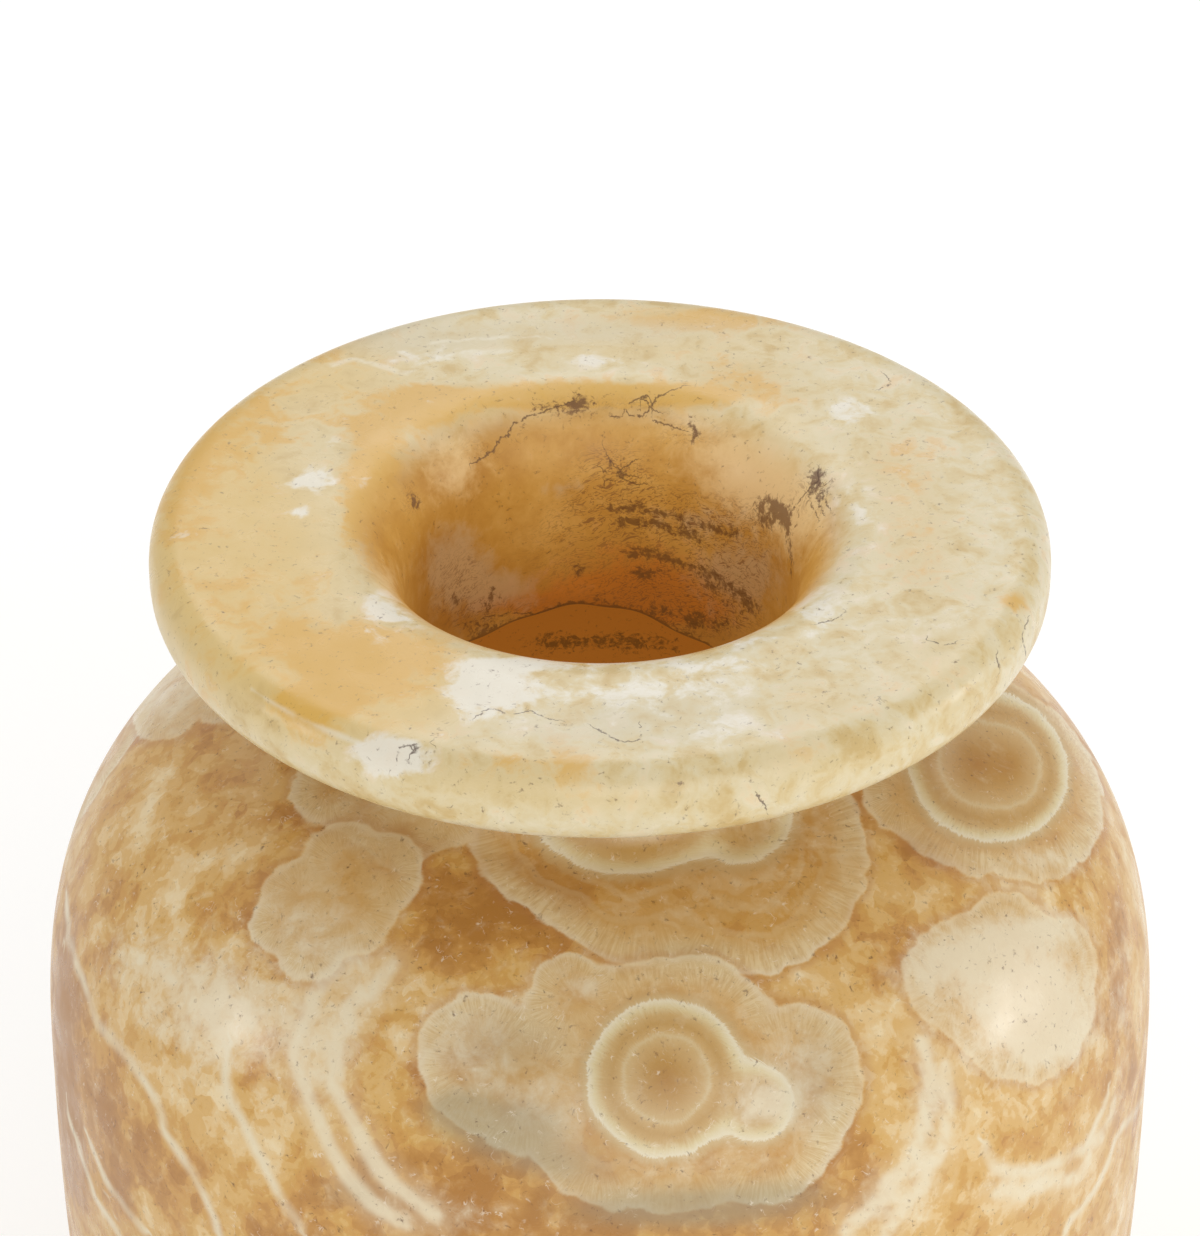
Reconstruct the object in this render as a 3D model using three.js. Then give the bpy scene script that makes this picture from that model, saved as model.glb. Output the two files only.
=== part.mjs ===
// Alabaster vase: one block of banded stone, turned and hollowed by hand.
// A high-shouldered body on a flat foot, a short pinched neck, and a broad flat rim
// whose top falls in a soft curve into a drilled throat. The throat ends in a ledge,
// and below it the belly is hollowed wide under the shoulder.
// Millimetres, +Z up. The origin is the centre of the foot's flat underside.
import * as THREE from "three";

// Outside of the body
const bodyRadius = 128; // at the belly, the widest ring
const bellyHeight = 202; // ground to belly
const footRadius = 84; // where the side would meet the ground
const footEdge = 4; // rounding between side and underside
const taperPower = 2.83; // how late the side turns in towards the foot
const shoulderHeight = 90; // belly to the level at which the shoulder would lie flat
const shoulderInset = 26; // it would lie flat this far inside the neck's waist
const shoulderPower = 2.75; // 2 is an ellipse, more is squarer

// Neck and rim
const neckRadius = 56; // at its waist
const neckHeight = 29; // shoulder top to the underside of the rim
const neckFlare = 9; // from the waist out to where the neck meets rim and shoulder
const rimRadius = 100;
const rimThickness = 19; // at the edge
const rimEdge = 8; // rounding of both corners of the edge
const undersideDrop = 2; // the rim is this much thicker beside the neck

// Throat
const neckWall = 12.5; // from the neck's waist to the bore
const funnelWidth = 18.5; // the flat rim top starts to fall this far outside the bore
const funnelDepth = 24;
const boreNarrowing = 2; // the drill hole closes by this much on its way down
const ledgeDrop = 4; // the ledge lies this far under the shoulder top
const ledgeRound = 1.5; // worn corner of the ledge

// Hollow
const wall = 14;
const floorThickness = 24;
const floorRound = 22; // rounding between the hollow's side and its floor

// Fineness of the facets
const turns = 64; // facets round the axis
const taperSteps = 10;
const shoulderSteps = 10;
const neckSteps = 8;
const edgeSteps = 4;
const funnelSteps = 6;
const ledgeSteps = 2;
const floorSteps = 4;
const joinGap = 0.05; // profile points nearer than this are one point

// Levels and radii that follow from the sizes above
const shoulderTop = bellyHeight + shoulderHeight;
const shoulderInner = neckRadius - shoulderInset;
const neckFoot = neckRadius + neckFlare;
const rimUnderside = shoulderTop + neckHeight;
const height = rimUnderside + rimThickness;
const edgeRound = Math.min(rimEdge, rimThickness / 2);
const boreRadius = neckRadius - neckWall;
const boreFoot = boreRadius - boreNarrowing;
const ledgeLevel = shoulderTop - ledgeDrop;

// A point of the profile: distance from the axis, level above the ground.
const at = (radius, level) => new THREE.Vector2(radius, level);

// Evenly spread shares from first to last, both included.
const spread = (steps, first, last) =>
  Array.from({ length: steps + 1 }, (_, i) => first + ((last - first) * i) / steps);

// A stretch of an upright ellipse, angles in degrees, 0 pointing away from the axis.
function arc(centre, across, upright, from, to, steps) {
  const start = THREE.MathUtils.degToRad(from);
  const end = THREE.MathUtils.degToRad(to);
  const curve = new THREE.EllipseCurve(
    centre.x,
    centre.y,
    across,
    upright,
    start,
    end,
    end < start,
  );
  return curve.getPoints(steps);
}

// A rounded corner from one point to another, bent towards the sharp corner.
const corner = (from, sharp, to, steps) =>
  new THREE.QuadraticBezierCurve(from, sharp, to).getPoints(steps);

// Side of the body, from the belly (share 0) down to the rounding of the foot (share 1).
function taperAt(share) {
  const level = bellyHeight - share * (bellyHeight - footEdge);
  const fall = (bellyHeight - level) / bellyHeight;
  return at(bodyRadius - (bodyRadius - footRadius) * fall ** taperPower, level);
}

// Quarter of a superellipse over the belly, from upright (share 0) to lying flat (share 1).
function shoulderAt(share) {
  const angle = (share * Math.PI) / 2;
  const power = 2 / shoulderPower;
  return at(
    shoulderInner + (bodyRadius - shoulderInner) * Math.cos(angle) ** power,
    bellyHeight + shoulderHeight * Math.sin(angle) ** power,
  );
}

// The share of the shoulder's quarter at which it has come in to a radius.
function shoulderShare(radius) {
  const inwards = (radius - shoulderInner) / (bodyRadius - shoulderInner);
  return (Math.acos(inwards ** (shoulderPower / 2)) * 2) / Math.PI;
}

function foot() {
  const inner = at(footRadius - footEdge, 0);
  return [at(0, 0), ...corner(inner, at(footRadius, 0), taperAt(1), edgeSteps)];
}

const taper = () => spread(taperSteps, 1, 0).map(taperAt);

const shoulder = () => spread(shoulderSteps, 0, shoulderShare(neckFoot)).map(shoulderAt);

// Concave waist between the shoulder and the underside of the rim.
function neck() {
  const low = shoulderAt(shoulderShare(neckFoot)).y;
  const high = rimUnderside - undersideDrop;
  const centre = at(neckFoot, (low + high) / 2);
  return arc(centre, neckFlare, (high - low) / 2, 270, 90, neckSteps);
}

function rim() {
  const low = at(rimRadius - edgeRound, rimUnderside + edgeRound);
  const high = at(rimRadius - edgeRound, height - edgeRound);
  return [
    ...arc(low, edgeRound, edgeRound, -90, 0, edgeSteps),
    ...arc(high, edgeRound, edgeRound, 0, 90, edgeSteps),
  ];
}

// The flat top falls into the throat, which ends in the ledge.
function throat() {
  const centre = at(boreRadius + funnelWidth, height - funnelDepth);
  const wallEnd = at(boreFoot, ledgeLevel + ledgeRound);
  const ledgeStart = at(boreFoot + ledgeRound, ledgeLevel);
  return [
    ...arc(centre, funnelWidth, funnelDepth, 90, 180, funnelSteps),
    ...corner(wallEnd, at(boreFoot, ledgeLevel), ledgeStart, ledgeSteps),
  ];
}

// The body's outside moved inwards by the wall, from the neck down to the foot.
function wallInside() {
  const outside = [
    ...spread(shoulderSteps, shoulderShare(neckRadius), 0).map(shoulderAt),
    ...spread(taperSteps, 0, 1).map(taperAt).slice(1),
  ];
  return outside.map((point, i) => {
    const before = outside[Math.max(i - 1, 0)];
    const after = outside[Math.min(i + 1, outside.length - 1)];
    const along = after.clone().sub(before).normalize();
    return at(point.x + along.y * wall, point.y - along.x * wall);
  });
}

// From the ledge the hollow opens as a cone that just touches the wall's inside,
// follows the wall down, and rounds into the floor.
function hollow() {
  const ledge = at(boreFoot + ledgeRound, ledgeLevel);
  const steepness = (point) => (ledge.y - point.y) / (point.x - ledge.x);
  const floorStart = floorThickness + floorRound;
  const inside = wallInside().filter((point) => point.x > ledge.x && point.y > floorStart);
  const slopes = inside.map(steepness);
  const side = inside.slice(slopes.indexOf(Math.min(...slopes)));
  const last = side[side.length - 1];
  const floorEdge = at(last.x - floorRound, floorThickness);
  const sharp = at(last.x - (last.y - floorStart) / 2, floorThickness);
  return [...side, ...corner(last, sharp, floorEdge, floorSteps), at(0, floorThickness)];
}

// Neighbouring stretches share an end, which is kept once.
function joined(...stretches) {
  return stretches
    .flat()
    .filter((point, i, all) => i === 0 || point.distanceTo(all[i - 1]) > joinGap);
}

function vaseMesh() {
  const profile = joined(foot(), taper(), shoulder(), neck(), rim(), throat(), hollow());
  const geometry = new THREE.LatheGeometry(profile, turns);
  geometry.rotateX(Math.PI / 2); // the lathe turns round Y
  const stone = new THREE.MeshStandardMaterial({
    color: 0xd9b98a,
    roughness: 0.3,
    metalness: 0,
  });
  const mesh = new THREE.Mesh(geometry, stone);
  mesh.name = "vase";
  return mesh;
}

const group = new THREE.Group();
group.add(vaseMesh());

export default group;
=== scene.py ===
"""An alabaster vase: the looks of one carved piece of banded stone, in a plain pale studio.

The form is turned from the same sizes as the solid. What grew in the stone, growth masses,
rings, veins, opaque patches, stains and cracks, is placed. Where it shows in the
photograph its place is a pixel there, and on the hidden sides an angle and a level.
"""
import math
import random

import bpy
import numpy as np
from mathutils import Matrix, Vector


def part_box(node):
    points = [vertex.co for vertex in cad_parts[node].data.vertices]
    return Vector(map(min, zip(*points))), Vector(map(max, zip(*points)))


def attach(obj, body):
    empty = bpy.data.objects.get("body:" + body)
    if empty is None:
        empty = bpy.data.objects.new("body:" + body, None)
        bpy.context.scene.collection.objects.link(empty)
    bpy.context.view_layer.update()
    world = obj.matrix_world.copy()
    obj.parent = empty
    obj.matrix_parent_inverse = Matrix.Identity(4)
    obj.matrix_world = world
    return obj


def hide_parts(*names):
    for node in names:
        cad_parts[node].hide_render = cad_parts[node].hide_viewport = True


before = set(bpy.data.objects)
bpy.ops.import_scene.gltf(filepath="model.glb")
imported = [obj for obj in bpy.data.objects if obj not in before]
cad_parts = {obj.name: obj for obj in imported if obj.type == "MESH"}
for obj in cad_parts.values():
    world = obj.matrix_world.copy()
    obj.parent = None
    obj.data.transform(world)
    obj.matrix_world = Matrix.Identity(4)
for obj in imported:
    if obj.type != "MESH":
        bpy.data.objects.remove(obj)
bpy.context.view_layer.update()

MM = 0.001  # sizes here are millimetres, and the scene's are metres
PX = 1 / 4.47  # a pixel of the photograph on the vase's front, in millimetres

# The photograph's camera, which looks along +Y and down at the vase
PICTURE_WIDTH, PICTURE_HEIGHT = 1200, 1236
LOOKS_DOWN = math.radians(33.873)
CAMERA_AWAY = 1300.0
AIM_LEVEL = 313.05
FOCAL_PIXELS = 5806.4
SENSOR = 36.0

# Outside of the body
LOW_CORNER, HIGH_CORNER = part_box("vase")
HEIGHT = HIGH_CORNER.z / MM
BODY_RADIUS = HIGH_CORNER.x / MM
BELLY = 202.0
FOOT_RADIUS = 84.0
FOOT_EDGE = 4.0
TAPER_POWER = 2.83
SHOULDER_HEIGHT = 90.0
SHOULDER_INNER = 30.0
SHOULDER_POWER = 2.75

# Neck, rim and throat
NECK_RADIUS = 56.0
NECK_FLARE = 9.0
RIM_RADIUS = 100.0
RIM_THICKNESS = 19.0
RIM_EDGE = 8.0
UNDERSIDE_DROP = 2.0
BORE_RADIUS = 43.5
BORE_NARROWING = 2.0
FUNNEL_WIDTH = 18.5
FUNNEL_DEPTH = 24.0
LEDGE_LEVEL = 288.0
LEDGE_ROUND = 1.5
RIM_UNDERSIDE = HEIGHT - RIM_THICKNESS
FLAT_TOP_OUTER = RIM_RADIUS - RIM_EDGE
MOUTH_RADIUS = BORE_RADIUS + FUNNEL_WIDTH
BORE_FOOT = BORE_RADIUS - BORE_NARROWING

# Hollow
WALL = 14.0
FLOOR_THICKNESS = 24.0
FLOOR_ROUND = 22.0

# Fineness of the facets
SPINS = 336  # round the axis
SIDE_STEPS = 74
SHOULDER_STEPS = 56
NECK_STEPS = 14
TOP_STEPS = 18  # the flat rim top, the funnel and the bore each
INSIDE_STEPS = 24  # the hollow's taper and its shoulder each
ONE_POINT = 0.02  # outline points nearer than this are one point

# How far the ledge was worn down, in millimetres
BACK_DIP = 6.0
LEFT_DIP = 2.0
SLOW_WAVE, FAST_WAVE = 0.4, 0.3

# Parts of the surface, as the features name them
ON_RIM = "rim"
ON_BODY = "body"
IN_THROAT = "throat"
IN_HOLLOW = "hollow"

# Measuring on the stone
FAR = 99.0  # more millimetres than any line reaches
LINE_REACH = 14.0  # lines are measured this far round themselves
PIXELS_TRIED = range(0, 60, 3)  # above a pixel where the ray misses its part
SURFACES_PASSED = 8  # by one ray, at most
PAST_SURFACE = 0.05


# Camera rays and places on the stone

def camera_axes():
    """Where the camera stands and its forward, right and up, in millimetres."""
    across, down = math.cos(LOOKS_DOWN), math.sin(LOOKS_DOWN)
    stands = Vector((0, -CAMERA_AWAY * across, AIM_LEVEL + CAMERA_AWAY * down))
    return stands, Vector((0, across, -down)), Vector((1, 0, 0)), Vector((0, down, across))


class Spot:
    """A place on the stone, with a small map from millimetres round it to pixels."""

    def __init__(self, place, normal, right, up, scale):
        self.place = np.array(place)
        self.map = np.array([right, -up, normal]) * scale

    def apart(self, points):
        """How far points lie from here: right, down and off the surface, in pixels."""
        return (points - self.place) @ self.map.T


def is_on(part, place):
    """Whether a place belongs to a part, a little of the next part included."""
    radius = math.hypot(place.x, place.y)
    if part == ON_RIM:
        return place.z > RIM_UNDERSIDE and radius > MOUTH_RADIUS - 10
    if part == ON_BODY:
        return place.z < RIM_UNDERSIDE - 1 and radius > NECK_RADIUS - 2
    if part == IN_HOLLOW:
        return place.z < LEDGE_LEVEL - 2
    return place.z > LEDGE_LEVEL and radius < MOUTH_RADIUS + 4


def pixel_ray(x, y):
    """The camera's place and the way from it through a pixel."""
    stands, forward, right, up = camera_axes()
    across = (x - PICTURE_WIDTH / 2) / FOCAL_PIXELS
    rise = (PICTURE_HEIGHT / 2 - y) / FOCAL_PIXELS
    return stands, (forward + right * across + up * rise).normalized()


def seen_spot(vase, part, x, y):
    """The place of a part of the vase at a pixel, or at the next pixels above it."""
    for lift in PIXELS_TRIED:
        start, along = pixel_ray(x, y - lift)
        for _ in range(SURFACES_PASSED):
            hit, place, normal, _ = vase.ray_cast(start * MM, along)
            if not hit:
                break
            place = place / MM
            if normal.dot(along) < 0 and is_on(part, place):
                stands, forward, right, up = camera_axes()
                scale = FOCAL_PIXELS / (place - stands).dot(forward)
                return Spot(place, normal, right, up, scale)
            start = place + along * PAST_SURFACE
    raise ValueError(f"nothing of the {part} lies at pixel {x}, {y}")


def side_spot(vase, turn, level):
    """The place on the outside at an angle round from the front and a level."""
    out = Vector((math.sin(turn), -math.cos(turn), 0))
    start = out * 2 * BODY_RADIUS + Vector((0, 0, level))
    hit, place, normal, _ = vase.ray_cast(start * MM, -out)
    right = Vector((math.cos(turn), math.sin(turn), 0))
    return Spot(place / MM, normal, right, normal.cross(right), 1 / PX)


# The form

def share_steps(steps, first=0.0, last=1.0):
    return [first + (last - first) * i / steps for i in range(steps + 1)]


def taper_at(share):
    level = BELLY - share * (BELLY - FOOT_EDGE)
    fall = (BELLY - level) / BELLY
    return BODY_RADIUS - (BODY_RADIUS - FOOT_RADIUS) * fall**TAPER_POWER, level


def shoulder_at(share):
    angle = share * math.pi / 2
    power = 2 / SHOULDER_POWER
    radius = SHOULDER_INNER + (BODY_RADIUS - SHOULDER_INNER) * math.cos(angle) ** power
    return radius, BELLY + SHOULDER_HEIGHT * math.sin(angle) ** power


def shoulder_share(radius):
    inwards = (radius - SHOULDER_INNER) / (BODY_RADIUS - SHOULDER_INNER)
    return math.acos(inwards ** (SHOULDER_POWER / 2)) * 2 / math.pi


def arc(centre, across, upright, first, last, steps):
    """A stretch of an upright ellipse, angles in degrees, 0 pointing away from the axis."""
    angles = [math.radians(a) for a in share_steps(steps, first, last)]
    return [(centre[0] + across * math.cos(a), centre[1] + upright * math.sin(a)) for a in angles]


def corner(start, sharp, end, steps):
    """A rounded corner from start to end, bent towards the sharp corner."""
    points = []
    for t in share_steps(steps):
        a, b, c = (1 - t) ** 2, 2 * t * (1 - t), t * t
        points.append(tuple(a * p + b * q + c * r for p, q, r in zip(start, sharp, end)))
    return points


def line(start, end, steps):
    return [tuple(p + (q - p) * t for p, q in zip(start, end)) for t in share_steps(steps)]


def outside_outline():
    """From the middle of the underside up to the outer edge of the flat rim top."""
    foot = corner((FOOT_RADIUS - FOOT_EDGE, 0), (FOOT_RADIUS, 0), taper_at(1), 6)
    side = [taper_at(share) for share in share_steps(SIDE_STEPS, 1, 0)]
    neck_foot = shoulder_share(NECK_RADIUS + NECK_FLARE)
    shoulder = [shoulder_at(share) for share in share_steps(SHOULDER_STEPS, 0, neck_foot)]
    low, high = shoulder[-1][1], RIM_UNDERSIDE - UNDERSIDE_DROP
    waist = (NECK_RADIUS + NECK_FLARE, (low + high) / 2)
    neck = arc(waist, NECK_FLARE, (high - low) / 2, 270, 90, NECK_STEPS)
    under = line(neck[-1], (FLAT_TOP_OUTER, RIM_UNDERSIDE), 8)
    low_edge = arc((FLAT_TOP_OUTER, RIM_UNDERSIDE + RIM_EDGE), RIM_EDGE, RIM_EDGE, -90, 0, 7)
    high_edge = arc((FLAT_TOP_OUTER, HEIGHT - RIM_EDGE), RIM_EDGE, RIM_EDGE, 0, 90, 8)
    underside = line((0, 0), foot[0], 4)
    return [*underside, *foot, *side, *shoulder, *neck, *under, *low_edge, *high_edge]


def inside_outline():
    """From the flat rim top down the throat and round the hollow to the middle of its floor."""
    top = line((FLAT_TOP_OUTER, HEIGHT), (MOUTH_RADIUS, HEIGHT), TOP_STEPS)
    funnel_centre = (MOUTH_RADIUS, HEIGHT - FUNNEL_DEPTH)
    funnel = arc(funnel_centre, FUNNEL_WIDTH, FUNNEL_DEPTH, 90, 180, TOP_STEPS)
    ledge_top = (BORE_FOOT, LEDGE_LEVEL + LEDGE_ROUND)
    bore = line(funnel[-1], ledge_top, TOP_STEPS)
    ledge_foot = (BORE_FOOT + LEDGE_ROUND, LEDGE_LEVEL)
    ledge = corner(ledge_top, (BORE_FOOT, LEDGE_LEVEL), ledge_foot, 3)
    return [*top, *funnel, *bore, *ledge, *hollow_outline(ledge_foot)]


def hollow_outline(ledge_foot):
    """The outside moved in by the wall, met from the ledge by a cone that just touches it."""
    start = shoulder_share(NECK_RADIUS)
    outside = [shoulder_at(share) for share in share_steps(INSIDE_STEPS, start, 0)]
    outside += [taper_at(share) for share in share_steps(INSIDE_STEPS, 0, 1)][1:]
    inside = []
    for before, point, after in zip(outside, outside[1:], outside[2:]):
        along = Vector(after) - Vector(before)
        along.normalize()
        inside.append((point[0] + along.y * WALL, point[1] - along.x * WALL))
    floor_start = FLOOR_THICKNESS + FLOOR_ROUND
    inside = [p for p in inside if p[0] > ledge_foot[0] and p[1] > floor_start]
    slopes = [(ledge_foot[1] - p[1]) / (p[0] - ledge_foot[0]) for p in inside]
    side = inside[slopes.index(min(slopes)):]
    last = side[-1]
    sharp = (last[0] - (last[1] - floor_start) / 2, FLOOR_THICKNESS)
    round_end = (last[0] - FLOOR_ROUND, FLOOR_THICKNESS)
    floor = corner(last, sharp, round_end, 6)
    cone = line(ledge_foot, side[0], 8)
    return [*cone, *side, *floor, *line(round_end, (0, FLOOR_THICKNESS), 3)]


def without_doubles(outline):
    """Neighbouring stretches share an end, which is kept once."""
    kept = outline[:1]
    for point in outline[1:]:
        if math.dist(point, kept[-1]) > ONE_POINT:
            kept.append(point)
    return kept


def turned_vase(outline):
    """A single corner is drawn along the outline and spun once round the axis."""
    bpy.ops.object.select_all(action="DESELECT")
    first = Vector((outline[0][0], 0, outline[0][1])) * MM
    bpy.ops.mesh.primitive_plane_add(size=MM, location=(0, 0, 0))
    vase = bpy.context.object
    vase.name = "stone_vase"
    bpy.ops.object.mode_set(mode="EDIT")
    bpy.ops.mesh.merge(type="CENTER")
    bpy.ops.transform.translate(value=first)
    for start, end in zip(outline, outline[1:]):
        step = Vector((end[0] - start[0], 0, end[1] - start[1])) * MM
        bpy.ops.mesh.extrude_region_move(TRANSFORM_OT_translate={"value": step})
    bpy.ops.mesh.select_all(action="SELECT")
    bpy.ops.mesh.spin(steps=SPINS, angle=2 * math.pi, center=(0, 0, 0), axis=(0, 0, 1))
    bpy.ops.mesh.select_all(action="SELECT")
    bpy.ops.mesh.remove_doubles(threshold=0.004 * MM)
    bpy.ops.mesh.normals_make_consistent(inside=False)
    bpy.ops.object.mode_set(mode="OBJECT")
    bpy.ops.object.shade_smooth_by_angle(angle=math.radians(40))
    return vase


def wear_ledge(vase):
    """The ledge was cut by hand and dips, most of all behind on the right.

    The turn is in degrees from straight behind, rising towards the right. Returned is the
    level of the ledge at each point's turn.
    """
    points = points_of(vase)
    radius = np.hypot(points[:, 0], points[:, 1])
    turn = np.degrees(np.arctan2(points[:, 0], points[:, 1]))
    dip = BACK_DIP * smooth(4, 34, turn) * smooth(150, 60, turn)
    dip += LEFT_DIP * smooth(-8, -50, turn)
    dip += SLOW_WAVE * np.sin(np.radians(turn * 9))
    dip += FAST_WAVE * np.sin(np.radians(turn * 17 + 40))
    above = smooth(LEDGE_LEVEL + 14, LEDGE_LEVEL + 1, points[:, 2])
    below = smooth(LEDGE_LEVEL - 16, LEDGE_LEVEL - 1, points[:, 2])
    near_ledge = above * below * smooth(60, 46, radius)
    points[:, 2] -= dip * near_ledge
    move_points(vase, points)
    return LEDGE_LEVEL - dip


def points_of(piece):
    """The places of a mesh's points, in millimetres."""
    places = np.zeros(len(piece.data.vertices) * 3)
    piece.data.vertices.foreach_get("co", places)
    return places.reshape(-1, 3) / MM


def move_points(piece, places):
    piece.data.vertices.foreach_set("co", (places * MM).ravel())
    piece.data.update()


# Fields that the features of the stone make over its points

def smooth(low, high, values):
    """0 at low and 1 at high, with a soft step between them."""
    t = np.clip((values - low) / (high - low), 0, 1)
    return t * t * (3 - 2 * t)


def soft_least(a, b, width):
    """The lesser of two distances, with the crease between them rounded."""
    h = np.clip(0.5 + 0.5 * (b - a) / width, 0, 1)
    return b + (a - b) * h - width * h * (1 - h)


def shaky(path, wobble, draw):
    """The same path in short steps, each pushed a little aside."""
    points = []
    for (x, y), (next_x, next_y) in zip(path, path[1:]):
        steps = max(1, round(math.dist((x, y), (next_x, next_y)) / 12))
        for step in range(steps):
            share = step / steps
            aside = draw.gauss(0, wobble)
            points.append((x + (next_x - x) * share + aside, y + (next_y - y) * share + aside))
    return [*points, path[-1]]


class Stone:
    """The vase's points and what has been laid over them."""

    def __init__(self, vase, ledge):
        self.vase = vase
        self.ledge = ledge
        self.points = points_of(vase)
        self.radius = np.hypot(self.points[:, 0], self.points[:, 1])
        self.level = self.points[:, 2]
        self.fibre = np.tile(np.array([0.0, 0.0, 1.0]), (len(self.points), 1))
        self.nearest = np.full(len(self.points), 1e6)

    def spot(self, part, x, y):
        return seen_spot(self.vase, part, x, y)

    def lobe(self, spot, radius):
        """Distance in pixels outside a round lobe, with the way its fibres run kept."""
        apart = spot.apart(self.points)
        reach = np.linalg.norm(apart, axis=1)
        share = reach / radius
        closer = share < self.nearest
        self.nearest[closer] = share[closer]
        self.fibre[closer] = apart[closer] / np.maximum(reach[closer], 1e-6)[:, None]
        return reach - radius

    def mass(self, spots):
        """Distance in millimetres outside a cluster of lobes that grew together."""
        blend = 0.28 * sum(radius for _, radius in spots) / len(spots)
        whole = None
        for spot, radius in spots:
            one = self.lobe(spot, radius)
            whole = one if whole is None else soft_least(whole, one, blend)
        return whole * PX

    def patch(self, part, x, y, wide, high):
        """A soft round patch, 1 in the middle and a third at the given half sizes."""
        apart = self.spot(part, x, y).apart(self.points)
        mean = math.sqrt(wide * high)
        return np.exp(-((apart / [wide, high, mean]) ** 2).sum(axis=1))

    def patches(self, part, rows):
        """The sum of soft patches, each row a pixel, its half sizes and its strength."""
        total = np.zeros(len(self.points))
        for x, y, wide, high, strength in rows:
            total += strength * self.patch(part, x, y, wide, high)
        return total

    def lines(self, part, paths, wobble):
        """Signed distance in millimetres to the nearest of several drawn lines."""
        draw = random.Random(5)
        signed = np.full(len(self.points), FAR)
        for path in paths:
            spots = [self.spot(part, x, y) for x, y in shaky(path, wobble, draw)]
            self.measure(signed, spots)
        return signed

    def strokes(self, part, rows):
        """Soft strokes along drawn lines, each row a half width in pixels and its line."""
        draw = random.Random(7)
        total = np.zeros(len(self.points))
        for half, path in rows:
            away = np.full(len(self.points), FAR)
            self.measure(away, [self.spot(part, x, y) for x, y in shaky(path, 1.0, draw)])
            total = np.maximum(total, np.exp(-((away / (half * PX)) ** 2)))
        return total

    def side_lines(self, signed, paths):
        """The same for lines drawn by angle and level."""
        draw = random.Random(6)
        for path in paths:
            steps = shaky([(turn * 4, level * 2) for turn, level in path], 1.0, draw)
            spots = [side_spot(self.vase, math.radians(x / 4), y / 2) for x, y in steps]
            self.measure(signed, spots)

    def measure(self, signed, spots):
        """Lessen the distances to those from the line through the spots."""
        middle = np.mean([spot.place for spot in spots], axis=0)
        reach = max(np.linalg.norm(spot.place - middle) for spot in spots) + LINE_REACH
        near = np.flatnonzero(np.linalg.norm(self.points - middle, axis=1) < reach)
        for start, end in zip(spots, spots[1:]):
            away = end.place - start.place
            from_start = self.points[near] - start.place
            share = np.clip(from_start @ away / (away @ away), 0, 1)
            distance = np.linalg.norm(from_start - share[:, None] * away, axis=1)
            side = np.sign(np.cross(away, from_start) @ start.map[2])
            closer = distance < np.abs(signed[near])
            signed[near[closer]] = (side * distance)[closer]

    def keep_lines(self, name, signed):
        """The far side of one line must not read as another, so the plain distance is kept too."""
        self.keep(name, signed)
        self.keep(name + "_near", np.abs(signed))

    def keep(self, name, values):
        """Store a field on the mesh, where the material reads it by name."""
        kind = "FLOAT_VECTOR" if values.ndim == 2 else "FLOAT"
        field = self.vase.data.attributes.new(name, kind, "POINT")
        key = "vector" if values.ndim == 2 else "value"
        field.data.foreach_set(key, values.astype(np.float32).ravel())


# Growth masses, each a cluster of lobes: x, y and radius in the photograph's pixels
FRONT_MASS = [
    (484, 1062, 68), (528, 1088, 68), (572, 1000, 46), (668, 1088, 131), (790, 1080, 76),
    (762, 1130, 78), (600, 1140, 66), (700, 1030, 70),
]
SHOULDER_MASS = [(622, 806, 158), (640, 866, 96), (744, 850, 124)]
RIGHT_SHOULDER_MASS = [(978, 770, 100), (1030, 788, 90), (905, 790, 44)]
LEFT_TONGUE = [(165, 698, 42), (222, 676, 46)]
LEFT_CLUSTER = [
    (345, 868, 46), (302, 896, 38), (283, 920, 35), (308, 944, 38), (350, 905, 50), (385, 870, 40),
]
LEFT_UNDER_RIM = [(330, 788, 40), (368, 806, 36), (402, 836, 34), (440, 800, 50)]
RIGHT_MASS = [(1027, 1003, 80), (960, 978, 58), (1004, 945, 52), (1056, 966, 48)]

# Rings inside the masses: the lobes of the white ring, the first one's centre being the eye
FRONT_RINGS = [(666, 1079, 80), (756, 1103, 40)]
SHOULDER_RINGS = [(636, 781, 112), (744, 819, 51)]
RIGHT_SHOULDER_RINGS = [(978, 764, 73), (1006, 766, 70)]

# Long pale lines, the edges of other growths cut through
VEINS = [
    [(68, 900), (69, 938), (78, 965), (96, 1020), (137, 1070), (157, 1102), (163, 1129),
     (193, 1173), (213, 1217), (219, 1236)],
    [(65, 1105), (72, 1126), (84, 1164), (93, 1193), (119, 1236)],
    [(90, 1143), (105, 1179), (125, 1208), (143, 1229)],
    [(1141, 1104), (1122, 1126), (1111, 1153), (1099, 1183), (1080, 1210), (1065, 1233)],
    [(225, 1047), (226, 1088), (234, 1108), (257, 1152), (272, 1182), (301, 1229)],
    [(984, 1146), (998, 1170), (1030, 1171), (1066, 1161), (1090, 1141), (1106, 1098)],
]
BROAD_VEINS = [
    [(342, 950), (322, 988), (304, 1023), (292, 1058), (307, 1091), (322, 1129), (342, 1173),
     (374, 1205), (404, 1223)],
    [(392, 965), (369, 988), (348, 1009), (333, 1058), (336, 1088), (363, 1143), (389, 1182),
     (436, 1217)],
    [(946, 1070), (949, 1110), (941, 1150), (915, 1192), (882, 1236)],
    [(920, 1040), (930, 1088), (924, 1136), (890, 1184), (846, 1234)],
    [(1000, 1196), (1046, 1184), (1078, 1176), (1098, 1148), (1113, 1104)],
]
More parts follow.
